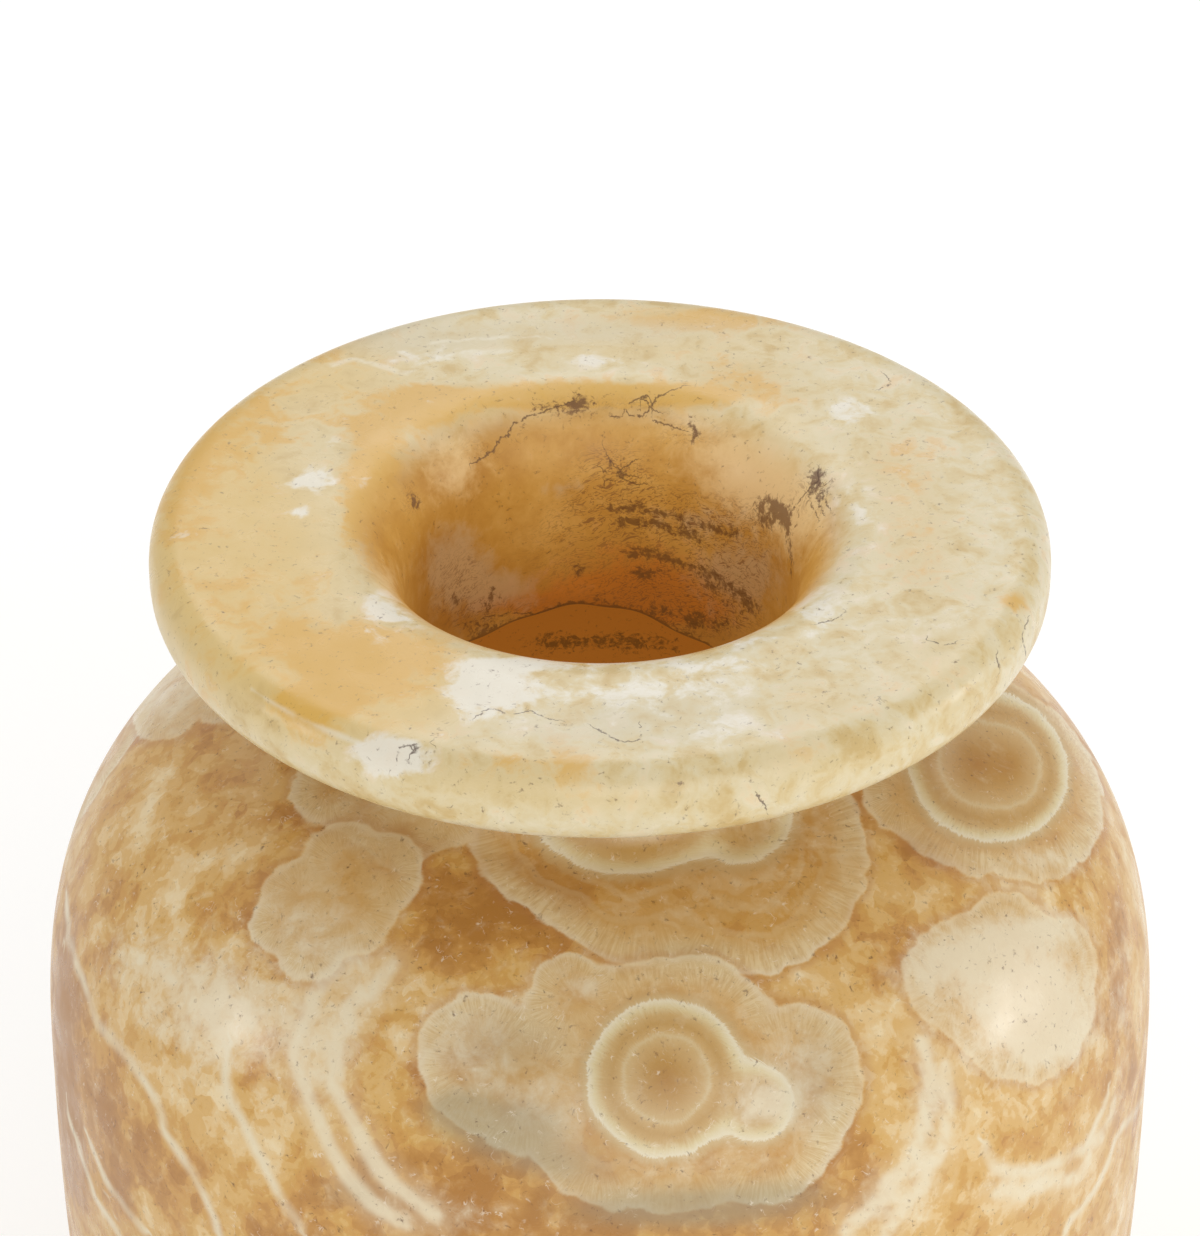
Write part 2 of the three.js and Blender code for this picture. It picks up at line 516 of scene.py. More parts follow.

# Soft patches on the body: x, y, half width, half height, and how much deeper or paler. The deeper
# ones along the bottom and at the far left and right edges are painted shade.
BODY_TONE_AND_SHADE = [
    (490, 905, 75, 48, -0.9), (455, 882, 30, 20, -0.5), (915, 862, 45, 30, -0.8),
    (62, 1000, 20, 120, -0.9), (110, 1130, 30, 60, -0.3), (600, 975, 60, 14, -0.2),
    (180, 740, 90, 30, -0.3), (430, 1190, 50, 30, -0.2), (700, 1215, 160, 22, -0.35),
    (985, 755, 40, 40, -0.4), (310, 1180, 30, 40, -0.2), (880, 960, 40, 40, -0.3),
    (250, 880, 30, 60, -0.2), (870, 1060, 40, 60, 0.3), (1060, 1180, 60, 40, 0.2),
    (1130, 950, 20, 120, 0.1), (150, 850, 70, 70, 0.2), (260, 1130, 30, 60, 0.2),
    (600, 1225, 380, 40, -0.8), (70, 1090, 26, 140, -1.0), (800, 980, 40, 20, 0.3),
    (400, 1040, 20, 30, 0.4), (880, 1120, 30, 60, -0.1), (600, 1150, 200, 60, -0.4),
    (900, 1040, 34, 50, -0.7), (1125, 980, 26, 110, -0.7), (145, 1170, 70, 60, -0.7),
]
# Cream patches; those at 225, 1010, at 1030, 1008 and at 1035, 1000 are painted highlights where
# the lamps bloom on the belly, and those at 370, 800, at 720, 820 and at 800, 830 a painted sheen
# under the rim
BODY_CREAM_AND_HIGHLIGHT = [
    (470, 1045, 56, 48, 0.75), (540, 1110, 50, 34, 0.6), (765, 1102, 34, 26, 1.0),
    (810, 1080, 44, 60, 0.6), (700, 1165, 90, 26, 0.35), (575, 985, 36, 22, 0.55),
    (1030, 1008, 70, 58, 1.6), (985, 950, 60, 30, 0.6), (920, 985, 40, 30, 0.5),
    (225, 1010, 76, 54, 1.3), (140, 960, 50, 40, 0.5), (320, 1060, 30, 50, 0.6),
    (165, 700, 36, 24, 0.9), (222, 680, 40, 22, 0.9), (1060, 1040, 40, 24, 0.9),
    (1035, 1000, 30, 26, 0.8), (950, 960, 40, 26, 0.7), (1040, 930, 60, 16, 0.9),
    (300, 925, 36, 30, 0.5), (340, 960, 34, 26, 0.4), (925, 1130, 16, 90, 0.8),
    (890, 1200, 30, 34, 0.6),
    (1030, 1180, 60, 14, 0.7), (440, 1215, 60, 20, 0.4), (720, 820, 50, 34, 0.35),
    (360, 1000, 26, 40, 0.5), (800, 830, 50, 34, 0.3), (1040, 860, 70, 14, 0.6),
    (370, 800, 34, 22, 0.5), (1125, 1020, 12, 120, 0.4),
]
BODY_GREY = [
    (455, 1110, 34, 20, 1.0), (505, 1130, 56, 28, 1.3), (560, 1165, 50, 20, 0.7),
    (500, 1050, 70, 44, 0.55), (820, 1080, 44, 70, 0.55), (690, 1208, 130, 22, 1.2),
    (640, 1090, 100, 70, 0.35), (690, 950, 60, 12, 0.4), (790, 1190, 50, 14, 0.4),
    (345, 1195, 40, 16, 0.4),
]

# Lines on the sides that the photograph doesn't show: angle round from the front and level
HIDDEN_VEINS = [
    [(96, 284), (101, 255), (97, 215), (104, 176), (112, 128), (109, 84), (114, 30)],
    [(140, 262), (132, 232), (136, 204), (128, 170), (134, 122), (127, 70)],
    [(196, 286), (190, 250), (197, 212), (188, 168), (194, 118), (200, 66), (196, 22)],
    [(236, 270), (243, 236), (238, 196), (247, 150), (241, 104), (250, 52)],
    [(-34, 168), (-28, 130), (-33, 92), (-26, 48)],
    [(30, 176), (36, 140), (33, 96), (40, 40)],
    [(268, 232), (262, 180), (270, 128), (264, 60)],
]

# Broad pale bands there, drawn the same way
HIDDEN_BANDS = [
    [(150, 288), (158, 240), (149, 190), (160, 140), (152, 90), (160, 30)],
    [(222, 280), (215, 236), (226, 190), (216, 140), (226, 92), (218, 20)],
    [(-62, 140), (-44, 122), (-20, 106), (8, 88), (34, 98), (62, 84)],
]


def hidden_masses(stone):
    """Growths on the sides that the photograph doesn't show, and below its edge."""
    draw = random.Random(4)
    clusters, rings = [], []

    def add(turn, level, size, lobes, ringed):
        middle = side_spot(stone.vase, math.radians(turn), level)
        cluster = [(middle, size)]
        for _ in range(lobes):
            aside = turn + draw.uniform(-24, 24)
            height = min(max(level + draw.uniform(-30, 30), 14), 276)
            spot = side_spot(stone.vase, math.radians(aside), height)
            cluster.append((spot, size * draw.uniform(0.4, 0.8)))
        clusters.append(cluster)
        if ringed:
            rings.append([(middle, size * 0.62)])

    for column in range(4):
        for row in range(3):
            turn = 118 + 40 * column + draw.uniform(-7, 7)
            level = 46 + 88 * row + 44 * (column % 2) + draw.uniform(-10, 10)
            size = draw.uniform(110, 165)
            add(turn, min(level, 262), size, 3, (column + 2 * row) % 3 == 0)
    for turn, level, size in ((-72, 96, 120), (-34, 66, 130), (12, 110, 140), (46, 52, 110)):
        add(turn, level, size, 3, turn in (12, -72))
    for turn, level, size in ((80, 130, 120), (-100, 160, 100)):
        add(turn, level, size, 3, turn == 80)
    return clusters, rings


def lay_body_pattern(stone):
    def placed(rows):
        return [(stone.spot(ON_BODY, x, y), size) for x, y, size in rows]

    clusters, rings = hidden_masses(stone)
    under = [FRONT_MASS, RIGHT_SHOULDER_MASS, LEFT_CLUSTER, LEFT_TONGUE, RIGHT_MASS]
    over = [SHOULDER_MASS, LEFT_UNDER_RIM]
    fields = [stone.mass(placed(rows)) for rows in under]
    fields += [stone.mass(cluster) for cluster in clusters[::2]]
    stone.keep("growth", np.minimum.reduce(fields))
    fields = [stone.mass(placed(rows)) for rows in over]
    fields += [stone.mass(cluster) for cluster in clusters[1::2]]
    stone.keep("growth_behind", np.minimum.reduce(fields))

    shares = []
    for rows in (FRONT_RINGS, SHOULDER_RINGS, RIGHT_SHOULDER_RINGS):
        shares.append(1 + stone.mass(placed(rows)) / (rows[0][2] * PX))
    for ring in rings:
        shares.append(1 + stone.mass(ring) / (ring[0][1] * PX))
    stone.keep("ring", np.minimum.reduce(shares))
    stone.keep("fibre", stone.fibre)

    veins = stone.lines(ON_BODY, VEINS, wobble=1.2)
    stone.side_lines(veins, HIDDEN_VEINS)
    stone.keep_lines("vein", veins)
    bands = np.full(len(stone.points), FAR)
    stone.side_lines(bands, HIDDEN_BANDS)
    shown = np.abs(stone.lines(ON_BODY, BROAD_VEINS, wobble=2.0))
    stone.keep("broad_vein", np.minimum(shown, 0.55 * np.abs(bands)))
    # Deeper and paler tone, with painted shade low down and at the far left and right edges
    stone.keep("tone_and_shade", stone.patches(ON_BODY, BODY_TONE_AND_SHADE))
    opaque = np.minimum.reduce([stone.mass(cluster) for cluster in clusters[1::3]])
    # Cream clouds, with the painted highlights among them
    stone.keep("cream_and_highlight", stone.patches(ON_BODY, BODY_CREAM_AND_HIGHLIGHT) + 0.9 * smooth(-1, -10, opaque))
    stone.keep("body_grey", stone.patches(ON_BODY, BODY_GREY))


# The rim: x, y, half width, half height, strength
RIM_HONEY = [
    (230, 420, 70, 50, 0.7), (345, 346, 60, 26, 0.5), (190, 500, 40, 60, 0.45),
    (372, 480, 30, 70, 1.2), (380, 660, 70, 34, 1.3), (310, 705, 50, 22, 1.1),
    (690, 318, 90, 16, 0.75), (600, 396, 160, 13, 1.5), (430, 410, 50, 20, 0.9),
    (740, 370, 60, 16, 0.5), (240, 590, 60, 50, 0.35), (920, 540, 50, 70, 0.35),
    (880, 460, 60, 40, 0.3), (1015, 600, 14, 12, 0.7), (560, 760, 60, 20, 0.3),
    (820, 700, 50, 24, 0.35), (290, 640, 50, 40, 0.6), (430, 760, 120, 16, 0.3),
]
RIM_YELLOW = [
    (230, 560, 120, 110, 1.0), (330, 690, 120, 60, 0.8), (200, 460, 60, 80, 0.8),
    (330, 380, 90, 50, 0.6), (650, 345, 160, 24, 0.4), (620, 800, 120, 20, 0.25),
    (500, 780, 120, 24, 0.4), (940, 660, 60, 50, 0.25), (780, 420, 40, 30, 0.3),
    (800, 760, 90, 30, 0.3), (420, 690, 60, 40, 0.4),
]
RIM_WHITE_AND_HIGHLIGHT = [
    (310, 480, 28, 14, 1.0), (300, 512, 12, 9, 0.8), (333, 443, 10, 8, 0.6),
    # The patch at 395, 757 is a painted highlight on the rim's left front edge
    (400, 610, 44, 26, 0.75), (490, 688, 44, 28, 1.4), (395, 757, 40, 20, 1.4),
    (620, 690, 90, 24, 0.5), (720, 670, 60, 24, 0.45), (810, 610, 40, 40, 0.45),
    (850, 410, 24, 16, 0.8), (860, 500, 40, 60, 0.4), (720, 730, 60, 20, 0.4),
    (600, 360, 50, 12, 0.5), (430, 355, 50, 14, 0.45), (930, 620, 60, 40, 0.3),
    (550, 664, 80, 8, 0.6), (740, 640, 40, 8, 0.5),
]
RIM_GREY = [
    (400, 340, 80, 24, 0.7), (760, 640, 80, 30, 0.35), (620, 330, 120, 20, 0.3),
    (700, 700, 90, 30, 0.5), (600, 725, 110, 26, 0.6), (560, 335, 200, 20, 0.4),
]

# Pale wisps on the rim: half width and the line, in pixels. The last is a painted highlight along
# the rim's left front edge.
RIM_WISPS_AND_HIGHLIGHT = [
    (6, [(330, 366), (352, 358), (378, 366), (405, 373), (425, 362), (460, 354), (510, 350)]),
    (4, [(400, 352), (440, 342), (500, 337), (560, 336)]),
    # A painted highlight along the left front edge
    (4, [(250, 690), (300, 722), (360, 744)]),
]


def lay_rim_pattern(stone):
    # Wisps and white patches, with a painted highlight on the left front edge among them
    stone.keep("wisp_and_highlight", stone.strokes(ON_RIM, RIM_WISPS_AND_HIGHLIGHT))
    stone.keep("honey", stone.patches(ON_RIM, RIM_HONEY))
    stone.keep("yellow", stone.patches(ON_RIM, RIM_YELLOW))
    stone.keep("white_and_highlight", stone.patches(ON_RIM, RIM_WHITE_AND_HIGHLIGHT))
    stone.keep("grey", stone.patches(ON_RIM, RIM_GREY))


# The throat: x, y, half width, half height, strength
# Pale patches; those at 455, 462, at 750, 450, at 735, 500 and at 700, 412 are a painted sheen on
# the upper walls
THROAT_PALE_AND_SHEEN = [
    (455, 462, 34, 44, 0.7), (750, 450, 66, 44, 0.9), (384, 590, 16, 30, 0.8),
    (795, 500, 36, 50, 1.3), (735, 500, 30, 30, 0.5), (700, 412, 60, 16, 0.5),
]
THROAT_HAZE = [
    (500, 590, 50, 22, 0.9), (565, 488, 28, 9, 0.8), (700, 520, 60, 14, 0.7),
    (465, 560, 30, 30, 0.5), (730, 570, 50, 30, 0.5), (610, 450, 40, 16, 0.3),
    (450, 570, 36, 50, 0.7), (745, 580, 46, 36, 0.7),
]
THROAT_ORANGE = [
    (600, 592, 90, 22, 0.9), (680, 600, 70, 30, 0.8), (560, 608, 110, 10, 1.0),
    (640, 560, 60, 22, 0.5), (650, 612, 90, 12, 0.8),
]
# Painted shade low in the throat, towards the ledge
THROAT_DEEP_SHADE = [
    (462, 622, 40, 26, 0.8), (712, 626, 46, 20, 0.55), (560, 606, 90, 12, 0.5),
    (650, 590, 60, 26, 0.5), (440, 560, 20, 40, 0.3),
]
THROAT_SPECKS = [
    (650, 520, 110, 32, 1.0), (730, 560, 60, 48, 1.0), (620, 488, 50, 30, 0.7),
    (660, 590, 90, 26, 1.0), (700, 620, 70, 16, 1.2), (458, 585, 32, 46, 0.9),
    (500, 612, 60, 14, 0.8), (560, 560, 60, 40, 0.5), (690, 432, 40, 18, 0.7),
    (480, 450, 40, 26, 0.5), (640, 402, 60, 8, 0.9), (815, 490, 24, 28, 0.8),
    (610, 460, 40, 24, 0.6), (560, 402, 50, 8, 0.9), (410, 500, 12, 30, 0.6),
]
# Dark stains; the one at 772, 516 is painted stain and shade of a pit that the mesh doesn't have
THROAT_STAIN_AND_SHADE = [
    (580, 404, 14, 8, 1.1), (552, 409, 18, 5, 0.8), (820, 490, 14, 22, 0.35),
    (414, 500, 4, 7, 1.4), (817, 477, 6, 10, 0.9), (635, 552, 14, 5, 1.1),
    (578, 572, 7, 8, 0.8), (650, 572, 18, 5, 0.9), (693, 632, 14, 9, 1.0),
    (640, 577, 8, 4, 0.7), (456, 600, 7, 5, 0.6), (662, 610, 16, 8, 0.7),
    (720, 622, 16, 8, 0.6), (600, 596, 10, 5, 0.5), (772, 516, 18, 12, 1.0),
    (480, 628, 16, 8, 0.7),
]

# Dark strokes in the throat: half width and the line, in pixels. The two round the pit on the
# right are painted stain and shade of a pit that the mesh doesn't have.
THROAT_STROKES = [
    (5, [(612, 508), (634, 507), (652, 512), (680, 519), (708, 526), (737, 534)]),
    (5, [(620, 523), (652, 522), (680, 532), (700, 539)]),
    (6, [(650, 554), (666, 558), (684, 565), (700, 569), (714, 576), (737, 590), (750, 600)]),
    (5, [(708, 585), (722, 594), (737, 604), (760, 610)]),
    # These two outline the pit on the right, painted stain and shade
    (4, [(757, 508), (766, 503), (780, 505), (789, 518)]),
    (5, [(784, 516), (789, 534), (791, 554), (792, 570)]),
    (4, [(492, 588), (490, 602), (486, 616)]),
    (3, [(690, 420), (695, 430), (694, 440)]),
]
HOLLOW_STROKES = [
    (6, [(520, 650), (548, 644), (590, 642), (630, 642), (652, 645), (680, 650)]),
]


def lay_throat_pattern(stone):
    # Pale patches, with a painted sheen on the upper walls
    stone.keep("pale", stone.patches(IN_THROAT, THROAT_PALE_AND_SHEEN))
    stone.keep("haze", stone.patches(IN_THROAT, THROAT_HAZE))
    stone.keep("orange", stone.patches(IN_THROAT, THROAT_ORANGE))
    # Painted shade low in the throat
    stone.keep("deep_shade", np.minimum(stone.patches(IN_THROAT, THROAT_DEEP_SHADE), 1))
    stone.keep("specks", stone.patches(IN_THROAT, THROAT_SPECKS))
    over_ledge = np.abs(stone.level - stone.ledge - 0.5)
    # A painted shadow line along the ledge's edge
    ledge = 1.2 * smooth(1.6, 0, over_ledge) * (stone.radius < BORE_FOOT + 5.5)
    stain_and_shade = stone.patches(IN_THROAT, THROAT_STAIN_AND_SHADE)
    stain_and_shade += 0.9 * stone.strokes(IN_THROAT, THROAT_STROKES)
    stain_and_shade += 0.8 * stone.strokes(IN_HOLLOW, HOLLOW_STROKES)
    # Stains, with painted shade in the pit and along the ledge
    stone.keep("stain_and_shade", stain_and_shade + ledge)


# Thin dark cracks, drawn along pixels. The last in the throat runs along the ledge and is a
# painted shadow line there.
THROAT_CRACKS_AND_LEDGE_SHADE = [
    [(478, 463), (493, 450), (509, 436), (518, 420), (540, 411), (565, 405)],
    [(605, 416), (619, 417), (638, 416), (652, 421), (666, 425), (680, 429)],
    [(624, 408), (638, 398), (652, 397), (669, 391), (680, 388)],
    [(645, 416), (652, 405), (660, 395)], [(605, 471), (622, 478), (640, 484)],
    [(605, 471), (604, 482)], [(793, 509), (804, 495), (814, 481)],
    [(603, 474), (620, 470), (632, 462)],
    [(610, 470), (608, 460), (606, 450)],
    [(795, 510), (801, 499), (812, 488), (818, 471)],
    [(812, 488), (822, 492), (828, 506)],
    [(808, 492), (812, 506), (818, 516)],
    # Along the ledge: a painted shadow line
    [(462, 624), (490, 616), (530, 612), (575, 606)],
]
RIM_CRACKS = [
    [(480, 716), (492, 708), (510, 716), (530, 712), (555, 720)],
    [(596, 728), (620, 742), (642, 741), (640, 728)],
    [(395, 766), (400, 748), (430, 741), (414, 752)],
    [(1026, 618), (1022, 640), (1026, 655)],
    [(998, 660), (999, 668)],
    [(757, 794), (763, 803), (766, 810)],
    [(932, 641), (940, 645), (955, 643)],
    [(886, 376), (892, 384), (884, 388)],
    [(820, 622), (838, 618), (846, 612)],
]


def lay_cracks(stone):
    throat = stone.lines(IN_THROAT, THROAT_CRACKS_AND_LEDGE_SHADE, wobble=1.2)
    rim = stone.lines(ON_RIM, RIM_CRACKS, wobble=0.8)
    stone.keep_lines("crack", np.where(np.abs(rim) < np.abs(throat), rim, throat))


# Nodes

def paint(code):
    """The colour of an sRGB code as linear light."""
    parts = [int(code[i:i + 2], 16) / 255 for i in (1, 3, 5)]
    return (*[((p + 0.055) / 1.055) ** 2.4 if p > 0.04045 else p / 12.92 for p in parts], 1.0)


class Nodes:
    """Short ways to add the nodes of one material."""

    def __init__(self, name):
        self.material = bpy.data.materials.new(name)
        self.material.use_nodes = True
        self.tree = self.material.node_tree
        self.tree.nodes.clear()

    def add(self, kind, inputs, output=0, **settings):
        node = self.tree.nodes.new("ShaderNode" + kind)
        for key, value in settings.items():
            setattr(node, key, value)
        for key, value in inputs.items():
            if isinstance(value, bpy.types.NodeSocket):
                self.tree.links.new(value, node.inputs[key])
            else:
                node.inputs[key].default_value = value
        return node.outputs[output]

    def finish(self, shader):
        surface = self.add("BsdfPrincipled", shader)
        end = self.tree.nodes.new("ShaderNodeOutputMaterial")
        self.tree.links.new(surface, end.inputs["Surface"])
        self.material.cycles.emission_sampling = "NONE"
        return self.material

    def field(self, name, output="Fac"):
        return self.add("Attribute", {}, output, attribute_name=name)

    def math(self, operation, first, second=0.0):
        return self.add("Math", {0: first, 1: second}, operation=operation)

    def plus(self, first, second):
        return self.math("ADD", first, second)

    def times(self, first, second):
        return self.math("MULTIPLY", first, second)

    def centred(self, value):
        """Noise moved from round 0.5 to round 0."""
        return self.math("SUBTRACT", value, 0.5)

    def vector(self, operation, first, second=None, scale=None):
        inputs = {0: first}
        if second is not None:
            inputs[1] = second
        if scale is not None:
            inputs["Scale"] = scale
        return self.add("VectorMath", inputs, operation=operation)

    def between(self, value, low, high, to_low=0.0, to_high=1.0):
        """A smooth step from low to high."""
        inputs = {"Value": value, 1: low, 2: high, 3: to_low, 4: to_high}
        return self.add("MapRange", inputs, interpolation_type="SMOOTHSTEP")

    def noise(self, place, size, detail=2.0, rough=0.55, output="Fac"):
        """Cloudy noise whose blotches are about size millimetres."""
        inputs = {"Vector": place, "Scale": 1 / size, "Detail": detail, "Roughness": rough}
        return self.add("TexNoise", inputs, output)

    def cells(self, place, size, output="Distance"):
        return self.add("TexVoronoi", {"Vector": place, "Scale": 1 / size}, output)

    def ramp(self, value, stops):
        """Colours along a value, each stop a place from 0 to 1 and a colour code."""
        node = self.tree.nodes.new("ShaderNodeValToRGB")
        while len(node.color_ramp.elements) < len(stops):
            node.color_ramp.elements.new(0.5)
        for element, (place, code) in zip(node.color_ramp.elements, stops):
            element.position = place
            element.color = paint(code)
        self.tree.links.new(value, node.inputs["Fac"])
        return node.outputs["Color"]

    def mix(self, share, first, second):
        inputs = {0: share, 6: first, 7: second}
        return self.add("Mix", inputs, 2, data_type="RGBA", clamp_factor=True)

    def cloud(self, stone, name, uneven, raggedness, low, high, strength, code):
        """A field's colour laid over the stone, its edge broken up by noise."""
        value = self.plus(self.field(name), self.times(uneven, raggedness))
        share = self.times(self.between(value, low, high), strength)
        return self.mix(share, stone, paint(code))

    def shake(self, place):
        """Two pushes by noise, wide and tight, that make what reads the place uneven."""
        self.pushes = {}
        for name, size in (("wide", 9), ("tight", 3.5)):
            push = self.noise(place, size, 1, output="Color")
            self.pushes[name] = self.vector("SUBTRACT", push, (0.5, 0.5, 0.5))

    def shaken(self, place, name, amount):
        return self.vector("ADD", place, self.vector("SCALE", self.pushes[name], scale=amount))


def stripe(n, distance, half):
    """1 in the middle of a line and 0 at its sides."""
    return n.between(n.math("ABSOLUTE", distance), half, 0.0)


def crystal_body(n, mm, broad, fine):
    """Coarse honey calcite: flakes and facets with crisp edges, from deep amber to cream, with
    painted shade low down and at the left and right edges.
    """
    flakes = n.noise(n.shaken(mm, "tight", 4), 14, 3, 0.62)
    value = n.plus(n.times(broad, 0.34), n.times(flakes, 0.46))
    value = n.plus(value, n.times(fine, 0.2))
    facets = n.add("SeparateColor", {0: n.cells(n.shaken(mm, "tight", 3), 4.5, "Color")}, 0)
    value = n.plus(value, n.times(n.centred(facets), 0.07))
    # Tone, with painted shade low down and at the left and right edges
    value = n.plus(value, n.times(n.field("tone_and_shade"), 0.15))
    return n.ramp(value, [
        (0.33, "#B07A38"), (0.42, "#C28E48"), (0.435, "#CB984F"), (0.485, "#CFA156"),
        (0.495, "#D6AC66"), (0.54, "#D8AF6C"), (0.553, "#DFBC82"), (0.60, "#E1C28C"),
        (0.615, "#E7CD9D"), (0.70, "#EAD4AA"),
    ])


def shards(n, mm, broad, stone):
    """Short pale edges of crystals, in loose clusters."""
    folds = n.math("ABSOLUTE", n.centred(n.noise(n.shaken(mm, "tight", 5), 3, 2, 0.7)))
    cluster = n.between(n.noise(mm, 3, 1), 0.55, 0.68)
    cluster = n.times(cluster, n.between(broad, 0.60, 0.46))
    edges = n.times(n.between(folds, 0.03, 0.004), cluster)
    return n.mix(n.times(edges, 0.5), stone, paint("#F0E3CD"))


def growth_layer(n, stone, name, waver, streaks, broad):
    """The pale fibrous border of a mass, sharp outside and fading inwards."""
    distance = n.plus(n.field(name), waver)
    fade = n.between(distance, -11.0, -2.0)
    band = n.times(fade, n.between(distance, 0.5, -0.5))
    band = n.times(band, n.between(broad, 0.64, 0.40, 0.55, 1.0))
    border = n.mix(n.between(streaks, 0.35, 0.65), paint("#D2B684"), paint("#E2CEA2"))
    edge = n.between(distance, -2.4, -0.4)
    border = n.mix(n.times(edge, 0.5), border, paint("#E9DDC2"))
    heart = n.mix(n.times(n.between(distance, 0.3, -2.0), 0.5), stone, paint("#C08F4A"))
    layers = n.between(n.math("SINE", n.times(distance, 1.15)), 0.1, 1.0)
    layers = n.times(layers, n.between(distance, -6.0, -11.0, 0.0, 0.25))
    heart = n.mix(layers, heart, paint("#DEC9A0"))
    stone = n.mix(n.times(band, 0.85), heart, border)
    halo = n.times(n.between(distance, 3.0, 0.6), n.between(distance, -0.2, 0.5))
    return n.mix(n.times(halo, 0.35), stone, paint("#B27A48"))


def ring_layer(n, stone, waver, streaks):
    """Rings round an amber eye, with a white fibrous ring outside."""
    ragged = n.times(n.centred(streaks), 0.10)
    share = n.plus(n.plus(n.field("ring"), n.times(waver, 0.022)), ragged)
    rings = n.ramp(n.times(share, 0.8), [
        (0.0, "#AE7826"), (0.18, "#B98A3E"), (0.34, "#C6A064"), (0.40, "#CBA970"),
        (0.44, "#D2B888"), (0.48, "#C9A468"), (0.56, "#BF9654"), (0.64, "#C8A468"),
        (0.72, "#DAC798"), (0.785, "#E4D8BA"), (0.805, "#CDB07E"), (0.90, "#C49C60"),
        (1.0, "#C69E66"),
    ])
    return n.mix(n.between(share, 1.20, 1.02), stone, rings)


def vein_layer(n, mm, stone):
    """Broad soft bands and thin crisp lines, both wandering a little."""
    wander = n.times(n.centred(n.noise(mm, 9, 1)), 2.0)
    near = n.plus(n.field("broad_vein"), wander)
    broad = n.plus(n.between(near, 3.0, 0.4, 0.0, 0.6), n.between(near, 8.0, 1.0, 0.0, 0.25))
    stone = n.mix(broad, stone, paint("#E8DABA"))
    thin = stripe(n, n.plus(n.field("vein"), wander), 2.7)
    thin = n.times(thin, n.between(n.field("vein_near"), 5.0, 3.0))
    thin = n.times(thin, n.between(n.noise(mm, 14, 1), 0.36, 0.56, 0.45, 0.85))
    return n.mix(thin, stone, paint("#E6D8B8"))


def rim_stone(n, mm, fine):
    """Cream stone clouded with honey and opaque white, with a painted highlight along its left
    front edge.
    """
    cloud = n.noise(n.shaken(mm, "wide", 10), 11, 3, 0.6)
    mottle = n.plus(n.times(cloud, 0.6), n.times(fine, 0.4))
    uneven = n.centred(mottle)
    stone = n.ramp(mottle, [
        (0.36, "#CFB379"), (0.46, "#DAC697"), (0.54, "#DED1AE"), (0.63, "#E9E1CC"),
    ])
    stone = n.cloud(stone, "yellow", uneven, 2.4, 0.0, 0.9, 0.85, "#DDBC74")
    stone = n.cloud(stone, "honey", uneven, 3.0, 0.15, 0.75, 0.8, "#D9A844")
    stone = n.cloud(stone, "grey", uneven, 1.2, 0.1, 0.9, 0.6, "#D3C7A9")
    stone = n.cloud(stone, "wisp_and_highlight", uneven, 1.6, 0.3, 1.0, 0.55, "#EAE2CC")
    patchy = n.centred(n.plus(n.times(cloud, 0.5), n.times(fine, 0.5)))
    return n.cloud(stone, "white_and_highlight", patchy, 3.0, 0.3, 0.8, 0.85, "#EBE5D6")


def throat_stone(n, mm, fine, broad):
    """Ochre stone, worn and stained, with a painted sheen on its upper walls, painted shade low
    down and fine dark marks that run round it.
    """
    value = n.plus(n.times(fine, 0.35), n.times(broad, 0.65))
    uneven = n.centred(fine)
    stone = n.ramp(value, [(0.36, "#B37E30"), (0.5, "#C29040"), (0.64, "#D2A556")])
    stone = n.mix(n.field("in_hollow"), stone, paint("#D2963C"))
    # Pale patches and painted sheen
    stone = n.cloud(stone, "pale", uneven, 1.2, 0.1, 1.0, 0.8, "#E4C690")
    stone = n.cloud(stone, "orange", uneven, 1.4, 0.1, 1.0, 0.8, "#C4701C")
    # Painted shade low in the throat
    stone = n.mix(n.times(n.field("deep_shade"), 0.6), stone, paint("#8C4A1C"))
    stone = n.cloud(stone, "haze", uneven, 1.6, 0.2, 1.0, 0.55, "#BFA786")
    return n.mix(n.times(throat_marks(n, mm), 0.7), stone, paint("#6E3F28"))


def throat_marks(n, mm):
    """Marks left by the drill, combed slantwise round the throat."""
    sloping = n.add("VectorRotate", {"Vector": n.shaken(mm, "wide", 5), "Angle": 0.35},
                    rotation_type="Y_AXIS")
    flat = n.vector("MULTIPLY", sloping, (0.3, 0.3, 1.0))
    marks = n.noise(flat, 1.0, 2, 0.6)
    folds = n.math("ABSOLUTE", n.centred(marks))
    specks = n.plus(n.between(folds, 0.035, 0.0), n.between(marks, 0.60, 0.66))
    return n.times(specks, n.between(n.field("specks"), 0.15, 1.1))


def stain_and_shade_layer(n, mm, stone):
    """Dark dirt caught in the throat and a dark stroke in the hollow, ragged at their edges, with
    painted shade in a pit on the right and along the ledge.
    """
    ragged = n.noise(n.shaken(mm, "tight", 3), 1.5, 3, 0.7)
    return n.cloud(stone, "stain_and_shade", n.centred(ragged), 2.8, 0.25, 0.85, 0.8, "#56301F")


def crack_layer(n, mm, stone):
    """Hair-thin dark lines, broken here and there."""
    wander = n.times(n.centred(n.noise(mm, 1.6, 2, 0.7)), 2.0)
    crack = stripe(n, n.plus(n.field("crack"), wander), 0.36)
    near = n.between(n.field("crack_near"), 3.0, 2.0)
    broken = n.between(n.noise(mm, 2.5, 2), 0.36, 0.5)
    line = n.times(n.times(crack, near), broken)
    return n.mix(n.times(line, 0.8), stone, paint("#4A2C1E"))


